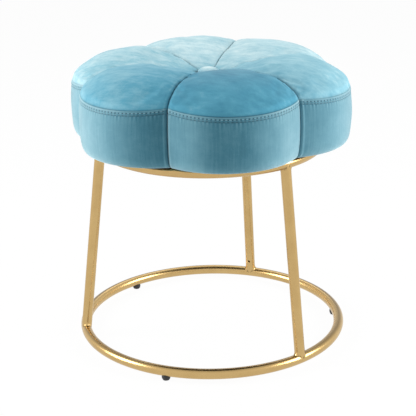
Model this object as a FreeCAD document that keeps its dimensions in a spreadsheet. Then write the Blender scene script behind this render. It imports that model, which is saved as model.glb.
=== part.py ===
import FreeCAD, Part
import math
import os
import re
import Sketcher
from FreeCAD import Vector

# Flower-seated vanity stool. Millimetres, +Z up, origin on the floor under the middle of the seat.
# The front is -Y. Legs stand at 90, 210 and 330 degrees. The first petal points to seat_turn, as the seat
# sits turned a little on its frame, and the others follow it every 60 degrees.

doc = FreeCAD.newDocument("VanityStool")
sheet = doc.addObject("Spreadsheet::Sheet", "Sizes")

# Driving dimensions, each written once
sizes = {
    "tube_diameter": 16,
    "tube_wall": 1.2,
    "base_ring_diameter": 415,
    "seat_ring_diameter": 344,
    "seat_ring_height": 317.5,
    "ring_facets": 48,
    "tube_facets": 16,
    "vent_diameter": 3.5,
    "vent_distance": 24,
    "glide_height": 6,
    "glide_top_diameter": 13,
    "glide_tip_diameter": 10,
    "glide_edge_height": 2,
    "glide_stem_diameter": 5,
    "glide_stem_reach": 6,
    "tab_width": 26,
    "tab_length": 36,
    "tab_thickness": 3,
    "tab_corner": 6,
    "tab_weld_gap": 5,
    "tab_bolt_inset": 22,
    "bolt_diameter": 6,
    "bolt_head_width": 10,
    "bolt_head_height": 4,
    "hole_clearance": 0.3,
    "thread_clearance": 0.1,
    "nut_width": 10,
    "nut_height": 5,
    "board_thickness": 12,
    "dust_cover_thickness": 1.6,
    "dust_cover_inset": 3,
    "staple_length": 10,
    "staple_width": 1.3,
    "staple_thickness": 0.7,
    "staple_inset": 8,
    "staples_per_petal": 3,
    "staple_spacing": 34,
    "seat_turn": 2.1,
    "petal_count": 6,
    "petal_axis_radius": 105.5,
    "petal_rim_radius": 114,
    "petal_bulge_radius": 117,
    "petal_foot_radius": 113.5,
    "petal_corner_radius": 9,
    "petal_crown_rise": 38,
    "bulge_height": 48,
    "core_height": 76,
    "side_wrap_thickness": 10,
    "soft_clearance": 0.3,
    "button_diameter": 30,
    "button_seat_height": 9,
    "button_top_diameter": 16,
    "button_edge_height": 3,
    "button_dome_height": 4,
    "twine_diameter": 2,
    "twine_hole_diameter": 4,
    "toggle_length": 24,
    "toggle_width": 6,
    "toggle_thickness": 3,
}
for row, (name, value) in enumerate(sizes.items(), start=1):
    sheet.set(f"A{row}", name)
    sheet.set(f"B{row}", str(value))
    sheet.setAlias(f"B{row}", name)
doc.recompute()

# Heights and radii that follow from the driving dimensions, as formulas of the sheet
tube_radius = "tube_diameter / 2"
base_ring_level = "(glide_height + tube_diameter / 2)"
seat_ring_top = "(seat_ring_height + tube_diameter / 2)"
board_bottom = f"({seat_ring_top} + dust_cover_thickness)"
board_top = f"({board_bottom} + board_thickness)"
rim_level = f"({board_top} + core_height)"
crest_level = f"({rim_level} + petal_crown_rise)"
crown_radius = "((petal_rim_radius ^ 2 + petal_crown_rise ^ 2) / (2 * petal_crown_rise))"
core_petal_radius = "(petal_rim_radius - side_wrap_thickness - soft_clearance)"
button_level = f"({rim_level} + button_seat_height)"
bolt_circle_radius = "(seat_ring_diameter / 2 - tab_bolt_inset)"
bolt_hole_diameter = "(bolt_diameter + 2 * hole_clearance)"

leg_azimuths = {"leg_back": 90, "leg_left": 210, "leg_right": 330}
between_legs = (30, 150, 270)
petal_azimuths = [f"({k} * 360 / petal_count + seat_turn)" for k in range(int(sheet.petal_count))]
alias_pattern = re.compile(r"\b(" + "|".join(sizes) + r")\b")
nodes = {}


# Shared helpers

def formula(text):
    """The sheet formula for text, whose words are the names of driving dimensions."""
    return alias_pattern.sub(r"Sizes.\1", str(text))


def bind(thing, **formulas):
    """Ties each property of thing to a formula of the driving dimensions."""
    for name, text in formulas.items():
        thing.setExpression(name, formula(text))
    return thing


def place(thing, azimuth=0, radius=0, across=0, height=0, turn=0, pitch=0):
    """Puts thing at a radius, a distance across it and a height, in the plane that stands at an azimuth.

    The thing is turned about Z by the azimuth plus turn, after it is tipped by pitch away from +Z.
    """
    angle = f"({azimuth}) * 1 deg"
    along_x = f"({radius}) * cos({angle}) - ({across}) * sin({angle})"
    along_y = f"({radius}) * sin({angle}) + ({across}) * cos({angle})"
    where = f"create(<<vector>>; {along_x}; {along_y}; {height})"
    facing = f"create(<<rotation>>; {azimuth} + {turn}; {pitch}; 0)"
    thing.setExpression("Placement", formula(f"create(<<placement>>; {where}; {facing})"))
    return thing


def node(thing, name):
    """Names thing as a sub-part of the stool."""
    thing.Label = name
    nodes[name] = thing
    return thing


def cylinder(name, diameter, length, **where):
    """A cylinder along its own axis, from a base that where puts in place."""
    thing = doc.addObject("Part::Cylinder", name)
    bind(thing, Radius=f"({diameter}) / 2", Height=length)
    return place(thing, **where)


def hexagon(name, across_flats, length, **where):
    """A hexagonal prism along its own axis, for bolt heads and nuts."""
    thing = doc.addObject("Part::Prism", name)
    thing.Polygon = 6
    bind(thing, Circumradius=f"({across_flats}) / 2 / cos(30 deg)", Height=length)
    return place(thing, **where)


def bar(name, length, width, thickness, level):
    """A flat bar across the axis, resting at a level."""
    thing = doc.addObject("Part::Box", name)
    bind(thing, Length=length, Width=width, Height=thickness)
    thing.setExpression("Placement", formula(
        f"create(<<placement>>; create(<<vector>>; -{length} / 2; -{width} / 2; {level}); "
        "create(<<rotation>>; 0; 0; 0))"))
    return thing


def joined(kind, name, shapes):
    """A Part::MultiFuse, Part::MultiCommon or Part::Compound of shapes."""
    thing = doc.addObject(kind, name)
    if kind == "Part::Compound":
        thing.Links = shapes
    else:
        thing.Shapes = shapes
    return thing


def cut(name, base, tool):
    """base with tool taken away."""
    thing = doc.addObject("Part::Cut", name)
    thing.Base = base
    thing.Tool = tool
    return thing


def new_body(name):
    """A new PartDesign body."""
    return doc.addObject("PartDesign::Body", name)


def new_sketch(body, name, role):
    """A sketch on one of the body's own origin planes, found by its role."""
    sketch = body.newObject("Sketcher::SketchObject", name)
    plane = next(item for item in body.Origin.OriginFeatures if item.Role == role)
    sketch.AttachmentSupport = [(plane, "")]
    sketch.MapMode = "FlatFace"
    return sketch


def tie(sketch, kind, where, text):
    """A dimension of the sketch that follows a formula."""
    index = sketch.addConstraint(Sketcher.Constraint(kind, *where, 1.0))
    sketch.setExpression(f"Constraints[{index}]", formula(text))


def draw_outline(sketch, corners):
    """A closed outline of straight lines, each corner tied to a formula for x and one for y."""
    count = len(corners)
    guesses = [Vector(math.cos(k), math.sin(k), 0) for k in range(count)]
    for k in range(count):
        sketch.addGeometry(Part.LineSegment(guesses[k], guesses[(k + 1) % count]), False)
    for k in range(count):
        sketch.addConstraint(Sketcher.Constraint("Coincident", k, 2, (k + 1) % count, 1))
    for k, (x, y) in enumerate(corners):
        tie(sketch, "DistanceX", (-1, 1, k, 1), x)
        tie(sketch, "DistanceY", (-1, 1, k, 1), y)


def draw_circle(sketch, x, y, diameter):
    """A circle tied to formulas for its centre and diameter."""
    index = sketch.addGeometry(Part.Circle(Vector(1, 1, 0), Vector(0, 0, 1), 1), False)
    tie(sketch, "DistanceX", (-1, 1, index, 3), x)
    tie(sketch, "DistanceY", (-1, 1, index, 3), y)
    tie(sketch, "Diameter", (index,), diameter)


def turned(name, corners):
    """A body turned about Z from an outline in the XZ plane."""
    body = new_body(name)
    sketch = new_sketch(body, f"{name}_profile", "XZ_Plane")
    draw_outline(sketch, corners)
    turn = body.newObject("PartDesign::Revolution", f"{name}_turned")
    turn.Profile = sketch
    turn.ReferenceAxis = (sketch, ["V_Axis"])
    turn.Angle = 360
    return body


def pad(body, sketch, name, length):
    """A pad of the sketch, upwards."""
    feature = body.newObject("PartDesign::Pad", name)
    feature.Profile = sketch
    return bind(feature, Length=length)


def pocket(body, sketch, name, depth, upwards):
    """A pocket of the sketch, into the body above it or below it."""
    feature = body.newObject("PartDesign::Pocket", name)
    feature.Profile = sketch
    feature.Reversed = upwards
    return bind(feature, Length=depth)


def repeat(body, sketch, feature, name, count):
    """Polar copies of a feature about Z."""
    pattern = body.newObject("PartDesign::PolarPattern", name)
    pattern.Originals = [feature]
    pattern.Axis = (sketch, ["N_Axis"])
    pattern.Angle = 360
    bind(pattern, Occurrences=count)
    body.Tip = pattern
    return pattern


def between_the_legs(maker, name):
    """One node with a copy of a small piece midway between each pair of legs."""
    copies = [maker(f"{name}_{k}", azimuth) for k, azimuth in enumerate(between_legs, start=1)]
    return node(joined("Part::Compound", name, copies), name)


# Frame tubes

def ring_tube(name, diameter, level):
    """A closed ring of tube with a fine facet centred on each leg, each glide and the ring's top."""
    path = doc.addObject("Part::RegularPolygon", f"{name}_path")
    bind(path, Polygon="ring_facets", Circumradius=f"{diameter} / 2 / cos(180 deg / ring_facets)")
    place(path, azimuth="180 / ring_facets", height=level)
    section = doc.addObject("Part::RegularPolygon", f"{name}_section")
    bind(section, Polygon="tube_facets", Circumradius=f"{tube_radius} / cos(180 deg / tube_facets)")
    section.setExpression("Placement", formula(
        f"create(<<placement>>; create(<<vector>>; {diameter} / 2; 0; {level}); "
        "create(<<rotation>>; 0; 180 / tube_facets; 90))"))
    tube = doc.addObject("Part::Sweep", name)
    tube.Sections = [section]
    tube.Spine = (path, [])
    tube.Solid = True
    tube.Transition = "Right corner"
    return tube


def cope(name, azimuth, ring_diameter, level):
    """What a ring takes from a leg's end: a straight round bar along the ring at that azimuth."""
    return cylinder(name, "tube_diameter / cos(180 deg / tube_facets)", "4 * tube_diameter",
                    azimuth=azimuth, radius=f"({ring_diameter} / 2)", across="-2 * tube_diameter",
                    height=level, turn=90, pitch=90)


def leg(name, azimuth):
    """A splayed tube from ring to ring, coped to both, with the mouth of a vent hole on its inner side."""
    rise = f"(seat_ring_height - {base_ring_level})"
    lean_in = "((base_ring_diameter - seat_ring_diameter) / 2)"
    length = f"sqrt({rise} ^ 2 + {lean_in} ^ 2)"
    pitch = f"(0 - atan({lean_in} / {rise}) / 1 deg)"
    tube = cylinder(f"{name}_tube", "tube_diameter", length, azimuth=azimuth,
                    radius="base_ring_diameter / 2", height=base_ring_level, pitch=pitch)
    vent_radius = f"(base_ring_diameter / 2 - vent_distance * {lean_in} / {length})"
    vent_level = f"({base_ring_level} + vent_distance * {rise} / {length})"
    mouth_radius = f"({vent_radius} - ({tube_radius} - tube_wall))"
    vent = cylinder(f"{name}_vent", "vent_diameter", "tube_diameter",
                    azimuth=azimuth, radius=mouth_radius, height=vent_level, pitch=f"({pitch} - 90)")
    waste = joined("Part::Compound", f"{name}_waste", [
        cope(f"{name}_lower_cope", azimuth, "base_ring_diameter", base_ring_level),
        cope(f"{name}_upper_cope", azimuth, "seat_ring_diameter", "seat_ring_height"),
        vent,
    ])
    return node(cut(name, tube, waste), name)


base_tube = ring_tube("base_tube", "base_ring_diameter", base_ring_level)
seat_tube = ring_tube("seat_tube", "seat_ring_diameter", "seat_ring_height")
stem_hole_diameter = "(glide_stem_diameter + 2 * thread_clearance)"
stem_holes = joined("Part::Compound", "stem_holes", [
    cylinder(f"stem_hole_{k}", stem_hole_diameter, f"(glide_stem_reach + {tube_radius})",
             azimuth=azimuth, radius="base_ring_diameter / 2")
    for k, azimuth in enumerate(between_legs, start=1)
])
node(cut("base_ring", base_tube, stem_holes), "base_ring")
node(seat_tube, "seat_ring")
for leg_name, leg_azimuth in leg_azimuths.items():
    leg(leg_name, leg_azimuth)


# Glides

def glide(name, azimuth):
    """A foot that narrows to the floor, with a stem pressed up into the tube."""
    stem_top = "(glide_height + glide_stem_reach)"
    body = turned(name, [
        ("0", "0"),
        ("glide_tip_diameter / 2", "0"),
        ("glide_top_diameter / 2", "glide_edge_height"),
        ("glide_top_diameter / 2", "glide_height"),
        ("glide_stem_diameter / 2", "glide_height"),
        ("glide_stem_diameter / 2", stem_top),
        ("0", stem_top),
    ])
    return place(body, azimuth=azimuth, radius="base_ring_diameter / 2")


between_the_legs(glide, "glides")


# Mounting tabs, bolts and nuts

def mounting_tab(name, azimuth):
    """A flat tab with cut corners, welded inside the seat ring, its top level with the ring's top."""
    inner = "(seat_ring_diameter / 2 - tab_length)"
    outer = "(seat_ring_diameter / 2 - tab_weld_gap)"
    side = "tab_width / 2"
    body = new_body(f"{name}_blank")
    outline = new_sketch(body, f"{name}_outline", "XY_Plane")
    draw_outline(outline, [
        (inner, f"tab_corner - {side}"),
        (f"{inner} + tab_corner", f"0 - {side}"),
        (outer, f"0 - {side}"),
        (outer, side),
        (f"{inner} + tab_corner", side),
        (inner, f"{side} - tab_corner"),
    ])
    pad(body, outline, f"{name}_plate", "tab_thickness")
    hole = new_sketch(body, f"{name}_hole", "XY_Plane")
    draw_circle(hole, bolt_circle_radius, "0", bolt_hole_diameter)
    pocket(body, hole, f"{name}_drilled", "tab_thickness", True)
    place(body, azimuth=azimuth, height=f"({seat_ring_top} - tab_thickness)")
    return node(cut(name, body, seat_tube), name)


def mount_bolt(name, azimuth):
    """A hexagon head under the tab and a shank up through tab, dust cover, board and nut."""
    spot = {"azimuth": azimuth, "radius": bolt_circle_radius}
    head_top = f"({seat_ring_top} - tab_thickness)"
    head = hexagon(f"{name}_head", "bolt_head_width", "bolt_head_height",
                   height=f"({head_top} - bolt_head_height)", **spot)
    shank = cylinder(f"{name}_shank", "bolt_diameter", f"({board_top} - {head_top})",
                     height=head_top, **spot)
    return joined("Part::MultiFuse", name, [head, shank])


def mount_nut(name, azimuth):
    """A hexagon nut let into the board's top."""
    spot = {"azimuth": azimuth, "radius": bolt_circle_radius, "height": f"({board_top} - nut_height)"}
    blank = hexagon(f"{name}_blank", "nut_width", "nut_height", **spot)
    bore = cylinder(f"{name}_bore", "(bolt_diameter + 2 * thread_clearance)", "nut_height", **spot)
    return cut(name, blank, bore)


for index, spot_azimuth in enumerate(between_legs, start=1):
    mounting_tab(f"mounting_tab_{index}", spot_azimuth)
between_the_legs(mount_bolt, "mount_bolts")
between_the_legs(mount_nut, "mount_nuts")


# Flower-shaped slabs: seat board, foam core and dust cover

def flower_slab(name, petal_radius, bottom, thickness):
    """A flat slab whose outline is a round lobe for each petal, joined by a disc in the middle."""
    body = new_body(name)
    lobe = new_sketch(body, f"{name}_lobe", "XY_Plane")
    draw_circle(lobe, "petal_axis_radius", "0", f"2 * {petal_radius}")
    lobe_pad = pad(body, lobe, f"{name}_lobe_pad", thickness)
    repeat(body, lobe, lobe_pad, f"{name}_lobes", "petal_count")
    middle = new_sketch(body, f"{name}_middle", "XY_Plane")
    draw_circle(middle, "0", "0", "2 * petal_axis_radius")
    pad(body, middle, f"{name}_middle_pad", thickness)
    return place(body, azimuth="seat_turn", height=bottom)


def hole_in_middle(body, name, diameter, depth):
    """A round hole from the slab's underside, on the axis."""
    circle = new_sketch(body, f"{name}_circle", "XY_Plane")
    draw_circle(circle, "0", "0", diameter)
    return pocket(body, circle, name, depth, True)


def bolt_holes(body, name, depth):
    """Round holes on the bolt circle, one above each tab."""
    circle = new_sketch(body, f"{name}_circle", "XY_Plane")
    first = f"({between_legs[0]} - seat_turn) * 1 deg"
    draw_circle(circle, f"{bolt_circle_radius} * cos({first})", f"{bolt_circle_radius} * sin({first})",
                bolt_hole_diameter)
    drilled = pocket(body, circle, name, depth, True)
    return repeat(body, circle, drilled, f"{name}_copies", len(between_legs))


board_blank = flower_slab("board_blank", core_petal_radius, board_bottom, "board_thickness")
hole_in_middle(board_blank, "board_twine_hole", "twine_hole_diameter", "board_thickness")
bolt_holes(board_blank, "board_bolt_holes", "board_thickness")
nut_recesses = [
    hexagon(f"nut_recess_{k}", "(nut_width + 2 * thread_clearance)", "nut_height", azimuth=azimuth,
            radius=bolt_circle_radius, height=f"({board_top} - nut_height)")
    for k, azimuth in enumerate(between_legs, start=1)
]
toggle_recess = bar("toggle_recess", "(toggle_length + 2 * thread_clearance)",
                    "(toggle_width + 2 * thread_clearance)", "toggle_thickness", board_bottom)
board_recesses = joined("Part::Compound", "board_recesses", [*nut_recesses, toggle_recess])
node(cut("seat_board", board_blank, board_recesses), "seat_board")

# The needle's hole in the foam and the bolts' holes in the cloth are pierced, and drawn with six sides.
core_blank = flower_slab("core_blank", core_petal_radius, board_top, "core_height")
needle_hole = hexagon("needle_hole", "twine_hole_diameter", "core_height", height=board_top)
node(cut("foam_core", core_blank, needle_hole), "foam_core")

cover_blank = flower_slab("cover_blank", f"({core_petal_radius} - dust_cover_inset)", seat_ring_top,
                          "dust_cover_thickness")
bolt_piercings = joined("Part::Compound", "bolt_piercings", [
    hexagon(f"bolt_piercing_{k}", bolt_hole_diameter, "dust_cover_thickness",
            azimuth=azimuth, radius=bolt_circle_radius, height=seat_ring_top)
    for k, azimuth in enumerate(between_legs, start=1)
])
node(cut("dust_cover", cover_blank, bolt_piercings), "dust_cover")


# Staples along the dust cover's edge

def staple(name, azimuth, place_in_row):
    """A staple's crown, laid along the edge of the dust cover's petal at an azimuth."""
    crown = doc.addObject("Part::Box", name)
    bind(crown, Length="staple_width", Width="staple_length", Height="staple_thickness")
    turn = f"(({place_in_row} - (staples_per_petal - 1) / 2) * staple_spacing)"
    reach = f"({core_petal_radius} - dust_cover_inset - staple_inset)"
    return place(crown, azimuth=azimuth, turn=turn, height=f"({seat_ring_top} - staple_thickness)",
                 radius=f"(petal_axis_radius + {reach} * cos({turn} * 1 deg))",
                 across=f"({reach} * sin({turn} * 1 deg))")


node(joined("Part::Compound", "dust_cover_staples", [
    staple(f"staple_{petal}_{k}", azimuth, k)
    for petal, azimuth in enumerate(petal_azimuths)
    for k in range(int(sheet.staples_per_petal))
]), "dust_cover_staples")


# Button, twine and toggle

button_edge = cylinder("button_edge", "button_diameter", "button_edge_height", height=button_level)
button_dome = doc.addObject("Part::Cone", "button_dome")
bind(button_dome, Radius1="button_diameter / 2", Radius2="button_top_diameter / 2",
     Height="button_dome_height")
place(button_dome, height=f"({button_level} + button_edge_height)")
node(joined("Part::MultiFuse", "tuft_button", [button_edge, button_dome]), "tuft_button")
toggle = bar("twine_toggle", "toggle_length", "toggle_width", "toggle_thickness", board_bottom)
node(toggle, "twine_toggle")
toggle_top = f"({board_bottom} + toggle_thickness)"
twine_length = f"({button_level} - {toggle_top})"
node(cylinder("tuft_twine", "twine_diameter", twine_length, height=toggle_top), "tuft_twine")


# Petal tops: a dome over each petal, so that neighbours meet in a sewn channel and all dip to the tuft

def petal_top(name, azimuth, tuft):
    """The part of a domed lobe within its own share of the flower, less the seat of the button."""
    share = doc.addObject("Part::Cylinder", f"{name}_share")
    bind(share, Radius="2 * (petal_axis_radius + petal_rim_radius)", Height="petal_crown_rise",
         Angle="360 / petal_count")
    place(share, azimuth=f"({azimuth} - 180 / petal_count)", height=rim_level)
    lobe = cylinder(f"{name}_lobe", "2 * petal_rim_radius", "petal_crown_rise",
                    azimuth=azimuth, radius="petal_axis_radius", height=rim_level)
    dome = doc.addObject("Part::Sphere", f"{name}_dome")
    bind(dome, Radius=crown_radius)
    place(dome, azimuth=azimuth, radius="petal_axis_radius",
          height=f"({crest_level} - {crown_radius})", pitch=90)
    crown = joined("Part::MultiCommon", f"{name}_crown", [share, lobe, dome])
    return cut(name, crown, tuft)


button_seat = cylinder("button_seat", "(button_diameter + 2 * soft_clearance)", "petal_crown_rise",
                       height=button_level)
twine_way = cylinder("twine_way", "twine_hole_diameter", "petal_crown_rise", height=rim_level)
tuft_waste = joined("Part::MultiFuse", "tuft_waste", [button_seat, twine_way])
node(joined("Part::Compound", "petal_tops", [
    petal_top(f"petal_top_{k}", azimuth, tuft_waste)
    for k, azimuth in enumerate(petal_azimuths)
]), "petal_tops")


# Side band: one padded panel round each petal, bulging at mid-height and rounded under

def wall_radius(height, wall_height):
    """The panel's outer radius about its petal's axis, at a height above its lower edge."""
    bulge, corner = sheet.petal_bulge_radius, sheet.petal_corner_radius
    if height >= sheet.bulge_height:
        away = (height - sheet.bulge_height) / (wall_height - sheet.bulge_height)
        return bulge - (bulge - sheet.petal_rim_radius) * away ** 2
    away = 1 - height / sheet.bulge_height
    radius = bulge - (bulge - sheet.petal_foot_radius) * away ** 2
    below = max(0, 1 - height / corner)
    return radius - corner * (1 - math.sqrt(1 - below ** 2))


def panel_section(height, wall_height):
    """The panel's outline at one height: outer arc, seam edge, line across inside the core, seam edge."""
    half_share = math.pi / sheet.petal_count
    axis, radius = sheet.petal_axis_radius, wall_radius(height, wall_height)
    near = axis * math.cos(half_share)
    far = near + math.sqrt(radius ** 2 - (axis * math.sin(half_share)) ** 2)
    right_near, right_far, left_far, left_near = [
        Vector(reach * math.cos(half_share), side * reach * math.sin(half_share), height)
        for reach, side in ((near, -1), (far, -1), (far, 1), (near, 1))
    ]
    return Part.Wire([
        Part.Arc(right_far, Vector(axis + radius, 0, height), left_far).toShape(),
        Part.LineSegment(left_far, left_near).toShape(),
        Part.LineSegment(left_near, right_near).toShape(),
        Part.LineSegment(right_near, right_far).toShape(),
    ])


def side_panel(name, azimuth):
    """A ruled loft up the wall, closely spaced round the lower corner, less the core that it wraps."""
    wall_height = sheet.board_thickness + sheet.core_height
    corner, widest = sheet.petal_corner_radius, sheet.bulge_height
    levels = [0, corner * 0.3, corner, widest, wall_height]
    block = doc.addObject("Part::Feature", f"{name}_block")
    block.Shape = Part.makeLoft([panel_section(level, wall_height) for level in levels], True, True)
    place(block, azimuth=azimuth, height=board_bottom)
    core = cylinder(f"{name}_core", "2 * (petal_rim_radius - side_wrap_thickness)",
                    "(board_thickness + core_height)",
                    azimuth=azimuth, radius="petal_axis_radius", height=board_bottom)
    return cut(name, block, core)


node(joined("Part::Compound", "side_band", [
    side_panel(f"side_panel_{k}", azimuth)
    for k, azimuth in enumerate(petal_azimuths)
]), "side_band")


# Check every object, then write one file per sub-part

doc.recompute()
failed = [item.Name for item in doc.Objects if {"Invalid", "Error"} & set(item.State)]
failed += [name for name, item in nodes.items() if item.Shape.isNull() or not item.Shape.isValid()]
if failed:
    raise RuntimeError(f"these failed to build: {failed}")
os.makedirs("parts", exist_ok=True)
for name, item in nodes.items():
    item.Shape.exportStep(os.path.join("parts", f"{name}.step"))
print(f"{len(nodes)} sub-parts written")
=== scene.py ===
import math

import bpy
import numpy as np
from mathutils import Matrix, Vector


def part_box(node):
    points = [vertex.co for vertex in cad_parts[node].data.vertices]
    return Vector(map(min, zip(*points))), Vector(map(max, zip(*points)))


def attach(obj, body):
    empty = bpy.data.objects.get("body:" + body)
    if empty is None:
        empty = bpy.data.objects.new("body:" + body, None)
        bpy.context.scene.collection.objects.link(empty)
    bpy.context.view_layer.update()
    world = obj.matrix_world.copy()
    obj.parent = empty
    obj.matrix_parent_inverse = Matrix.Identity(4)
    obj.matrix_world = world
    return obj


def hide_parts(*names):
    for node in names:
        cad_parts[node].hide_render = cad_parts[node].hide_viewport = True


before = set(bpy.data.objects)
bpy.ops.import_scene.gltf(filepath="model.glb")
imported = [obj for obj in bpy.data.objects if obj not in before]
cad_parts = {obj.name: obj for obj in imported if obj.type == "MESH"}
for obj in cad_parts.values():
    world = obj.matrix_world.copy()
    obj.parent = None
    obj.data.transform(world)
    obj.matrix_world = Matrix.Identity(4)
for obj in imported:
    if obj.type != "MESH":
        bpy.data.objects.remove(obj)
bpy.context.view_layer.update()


# Places of the frame, in metres

def levels(node):
    # the lowest and the highest point of a CAD node
    low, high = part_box(node)
    return low.z, high.z


def reachOf(node):
    # half the width of a CAD node
    low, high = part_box(node)
    return (high.x - low.x) / 2


tubeRadius = (levels("seat_ring")[1] - levels("seat_ring")[0]) / 2
baseRing, seatRing = (
    {"radius": reachOf(node) - tubeRadius, "level": sum(levels(node)) / 2}
    for node in ("base_ring", "seat_ring")
)
boardBottom, rimLevel = levels("side_band")
crestLevel = levels("petal_tops")[1]
coverBottom, coverTop = levels("dust_cover")
legAzimuths = {"leg_back": math.radians(90), "leg_left": math.radians(210), "leg_right": math.radians(330)}
glideAzimuths = [math.radians(azimuth) for azimuth in (30, 150, 270)]
flower = {
    "petals": 6,
    "turn": math.radians(2.1),  # the first petal's azimuth, as the seat sits on its frame
    "axis": 0.1055,             # from the stool's axis to a petal's own axis
    "rim": 0.1140,              # petal radius at the rim seam
    "widest": 0.1170,           # petal radius where the wall bulges most
    "dip": 0.0032,              # how far the rim seam dips at a petal's tip
    "notch": 0.0060,            # how much higher than that it is at the notches
    "closer": 0.3,              # how much closer together a petal's columns are at the seams
}
halfShare = math.pi / flower["petals"]
print("frame read")


# Surfaces worked out on grids

def circle(count):
    # angles evenly spaced round a full circle
    return np.arange(count) / count * 2 * math.pi


def stacked(x, y, z):
    # points from coordinates that are spread over each other's rows and columns
    return np.stack(np.broadcast_arrays(x, y, z), -1)


def bump(x):
    # 1 at zero, falling smoothly to 0 at plus and minus 1
    return (1 - np.minimum(np.abs(x), 1) ** 2) ** 2


def band(x, strength, place, width):
    # a bell curve of that strength, place and width
    return strength * np.exp(-((x - place) / width) ** 2)


def fading(distance, strength, width):
    # that strength at zero, falling off to a third of it at that width
    return strength * np.exp(-distance / width)


def smoothThrough(xs, ys, at):
    # Cubic through the points. The slope at each is the harmonic mean of its two chords, so that it never
    # overshoots.
    xs, ys = np.asarray(xs, float), np.asarray(ys, float)
    chord = np.diff(ys) / np.diff(xs)
    both = chord[:-1] * chord[1:]
    inner = np.where(both > 0, 2 * both / np.where(both > 0, chord[:-1] + chord[1:], 1), 0)
    slope = np.concatenate([chord[:1], inner, chord[-1:]])
    at = np.clip(at, xs[0], xs[-1])
    k = np.clip(np.searchsorted(xs, at) - 1, 0, len(xs) - 2)
    step = xs[k + 1] - xs[k]
    f = (at - xs[k]) / step
    level = ys[k] * (1 + 2 * f) * (1 - f) ** 2 + ys[k + 1] * f ** 2 * (3 - 2 * f)
    return level + step * (slope[k] * f * (1 - f) ** 2 + slope[k + 1] * f ** 2 * (f - 1))


def gentleWaves(x, y, size, seed):
    # The mean of five sine waves, each in its own direction and 0.7 to 1.3 times as close as that size.
    turn = np.random.default_rng(seed).uniform(0, 2 * math.pi, (5, 2))
    total = 0
    for k, (heading, phase) in enumerate(turn):
        wave = 2 * math.pi / size * (0.7 + 0.15 * k)
        total = total + np.sin(wave * (x * math.cos(heading) + y * math.sin(heading)) + phase)
    return total / 5


def finer(coarse, rows, columns):
    # Cubic B-spline through a coarse grid, whose columns close round and whose rows end at its edges.
    def along(values, count, closed):
        total = len(values)
        at = np.arange(count) * (total / count if closed else (total - 1) / (count - 1))
        cell = np.floor(at).astype(int)
        f = (at - cell)[:, None, None]
        weights = ((1 - f) ** 3, 3 * f ** 3 - 6 * f ** 2 + 4, -3 * f ** 3 + 3 * f ** 2 + 3 * f + 1, f ** 3)
        places = [cell + k - 1 for k in range(4)]
        places = [k % total if closed else np.clip(k, 0, total - 1) for k in places]
        return sum(weight * values[place] for weight, place in zip(weights, places)) / 6
    return along(along(coarse, rows, False).swapaxes(0, 1), columns, True).swapaxes(0, 1)


def carriedOn(fields, rows):
    # Fields whose last row is repeated, for the rows that close a piece out of sight.
    return {key: np.pad(value, ((0, rows), (0, 0)), mode="edge") for key, value in fields.items()}


def surface(name, grid, wrapRows=False, poles=False, fields=None):
    # grid[row, column] holds points, and its columns close round. Its rows close round too, or each end gets
    # a pole, or both ends stay open. Each field gives every point a number.
    rows, columns = grid.shape[:2]
    number = np.arange(rows * columns).reshape(rows, columns)
    nextRow = np.roll(number, -1, axis=0)
    if not wrapRows:
        number, nextRow = number[:-1], nextRow[:-1]
    faces = [np.stack([number, np.roll(number, -1, 1), np.roll(nextRow, -1, 1), nextRow], -1).reshape(-1, 4)]
    points = grid.reshape(-1, 3)
    values = {key: np.broadcast_to(v, (rows, columns)).reshape(-1) for key, v in (fields or {}).items()}
    if poles:
        start = np.arange(columns)
        end = start + (rows - 1) * columns
        first, last = len(points), len(points) + 1
        points = np.vstack([points, grid[0].mean(0), grid[-1].mean(0)])
        values = {key: np.append(v, [v[:columns].mean(), v[-columns:].mean()]) for key, v in values.items()}
        faces.append(np.stack([np.full(columns, first), np.roll(start, -1), start], -1))
        faces.append(np.stack([np.full(columns, last), end, np.roll(end, -1)], -1))
    return meshPiece(name, points, faces, values)


def meshPiece(name, points, faces, values):
    # Faces are turned outwards where the volume that they enclose comes out negative.
    a, b, c = (points[faces[0][:, k]] - points.mean(0) for k in range(3))
    if np.einsum("ij,ij->", a, np.cross(b, c)) < 0:
        faces = [block[:, ::-1] for block in faces]
    mesh = bpy.data.meshes.new(name)
    mesh.from_pydata(points.tolist(), [], [face for block in faces for face in block.tolist()])
    for key, value in values.items():
        mesh.attributes.new(key, "FLOAT", "POINT").data.foreach_set("value", value.astype(np.float32))
    mesh.polygons.foreach_set("use_smooth", np.ones(len(mesh.polygons), bool))
    mesh.update()
    piece = bpy.data.objects.new(name, mesh)
    bpy.context.scene.collection.objects.link(piece)
    return piece


# Cloth simulation

cloth = {"pressure": 1.0, "tension": 30, "bending": 0.4, "spare": 0.02, "frames": 20}


def clothMove(grid, held, most):
    # How far pressure from inside moves each point of a coarse sheet that is cut a little too large. Held
    # points stay, and none moves further than the most.
    piece = surface("coarseCloth", grid)
    piece.vertex_groups.new(name="held").add(np.flatnonzero(held).tolist(), 1.0, "REPLACE")
    modifier = piece.modifiers.new("cloth", "CLOTH")
    modifier.point_cache.frame_start, modifier.point_cache.frame_end = 1, cloth["frames"]
    modifier.collision_settings.use_collision = False
    settings = modifier.settings
    settings.vertex_group_mass = "held"
    settings.use_pressure, settings.uniform_pressure_force = True, cloth["pressure"]
    settings.effector_weights.gravity = 0
    settings.tension_stiffness = settings.compression_stiffness = cloth["tension"]
    settings.bending_stiffness, settings.shrink_min = cloth["bending"], -cloth["spare"]
    scene = bpy.context.scene
    for number in range(1, cloth["frames"] + 1):
        scene.frame_set(number)
    end = np.empty(grid.size, np.float32)
    piece.evaluated_get(bpy.context.evaluated_depsgraph_get()).data.vertices.foreach_get("co", end)
    bpy.data.objects.remove(piece)
    scene.frame_set(1)
    move = end.reshape(grid.shape) - grid
    length = np.linalg.norm(move, axis=-1, keepdims=True)
    return move * np.minimum(1, most / np.maximum(length, 1e-9))


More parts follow.
